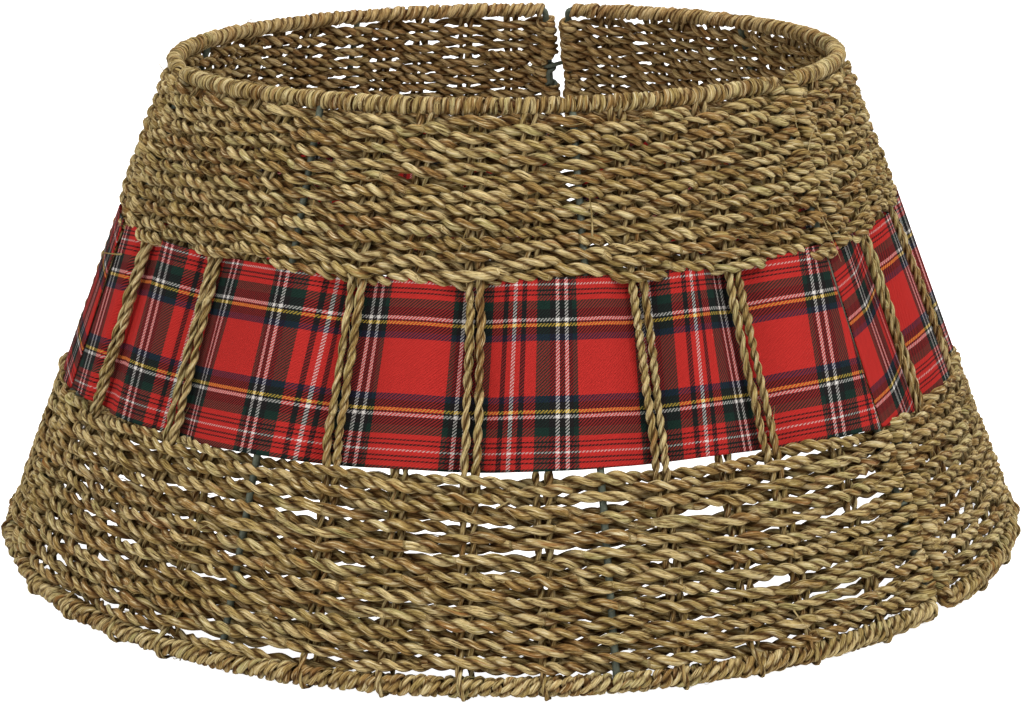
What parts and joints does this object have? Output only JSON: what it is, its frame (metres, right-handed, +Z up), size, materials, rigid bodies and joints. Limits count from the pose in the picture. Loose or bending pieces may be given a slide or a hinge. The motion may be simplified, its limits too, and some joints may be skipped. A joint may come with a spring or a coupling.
{
  "type": "tree skirt",
  "caption": "Conical woven seagrass tree skirt with a tartan fabric band, made of hinged panels on wire frames that clip together round a tree stand.",
  "frame": {"origin": "centre of the bounding box's underside, on the floor at the middle of the ring", "axes": "+Z up along the ring's axis, -Y to the front of the skirt, +X to the right as seen from the front"},
  "size_m": [0.5697, 0.5696, 0.266],
  "materials": {
    "seagrass": "natural twisted seagrass cord, matt, khaki to tan",
    "painted_wire": "grey-green painted steel wire, satin",
    "tartan": "woven twill tartan, red with black, dark green, navy, white and yellow lines"
  },
  "bodies": {
    "front_panel": {"front_frame": "painted_wire", "front_bottom_wrap": "seagrass", "front_top_wrap": "seagrass", "front_lower_weave": "seagrass", "front_upper_weave": "seagrass", "front_tartan_strip": "tartan", "front_cord_01": "seagrass", "front_cord_02": "seagrass", "front_cord_03": "seagrass", "front_cord_04": "seagrass", "front_cord_05": "seagrass", "front_cord_06": "seagrass", "front_cord_07": "seagrass", "front_cord_08": "seagrass", "front_cord_09": "seagrass", "front_cord_10": "seagrass", "front_cord_11": "seagrass", "front_cord_12": "seagrass", "right_seam_lower_clip": "painted_wire", "right_seam_upper_clip": "painted_wire", "left_seam_lower_clip": "painted_wire", "left_seam_upper_clip": "painted_wire"},
    "right_panel": {"right_frame": "painted_wire", "right_bottom_wrap": "seagrass", "right_top_wrap": "seagrass", "right_lower_weave": "seagrass", "right_upper_weave": "seagrass", "right_tartan_strip": "tartan", "right_cord_01": "seagrass", "right_cord_02": "seagrass", "right_cord_03": "seagrass", "right_cord_04": "seagrass", "right_cord_05": "seagrass", "right_cord_06": "seagrass", "right_cord_07": "seagrass", "right_cord_08": "seagrass", "right_cord_09": "seagrass", "right_cord_10": "seagrass", "right_cord_11": "seagrass", "right_cord_12": "seagrass"},
    "left_panel": {"left_frame": "painted_wire", "left_bottom_wrap": "seagrass", "left_top_wrap": "seagrass", "left_lower_weave": "seagrass", "left_upper_weave": "seagrass", "left_tartan_strip": "tartan", "left_cord_01": "seagrass", "left_cord_02": "seagrass", "left_cord_03": "seagrass", "left_cord_04": "seagrass", "left_cord_05": "seagrass", "left_cord_06": "seagrass", "left_cord_07": "seagrass", "left_cord_08": "seagrass", "left_cord_09": "seagrass", "left_cord_10": "seagrass", "left_cord_11": "seagrass", "left_cord_12": "seagrass"},
    "back_lower_hook": {"back_lower_hook": "painted_wire"},
    "back_upper_hook": {"back_upper_hook": "painted_wire"}
  },
  "joints": [
    {"name": "right_panel_hinge", "type": "hinge", "parent": "front_panel", "child": "right_panel", "pos_m": [0.21899, -0.17462, 0.005], "axis": [0.2799, -0.2349, -0.9308], "range_deg": [0, 110]},
    {"name": "left_panel_hinge", "type": "hinge", "parent": "front_panel", "child": "left_panel", "pos_m": [-0.26551, -0.08919, 0.005], "axis": [0.3434, 0.125, 0.9308], "range_deg": [0, 110]},
    {"name": "back_lower_hook_pivot", "type": "hinge", "parent": "left_panel", "child": "back_lower_hook", "pos_m": [0.03919, 0.26257, 0.04223], "axis": [-0.0635, -0.3599, 0.9308], "range_deg": [0, 100]},
    {"name": "back_upper_hook_pivot", "type": "hinge", "parent": "left_panel", "child": "back_upper_hook", "pos_m": [0.02764, 0.19707, 0.21165], "axis": [-0.0635, -0.3599, 0.9308], "range_deg": [0, 100]}
  ]
}
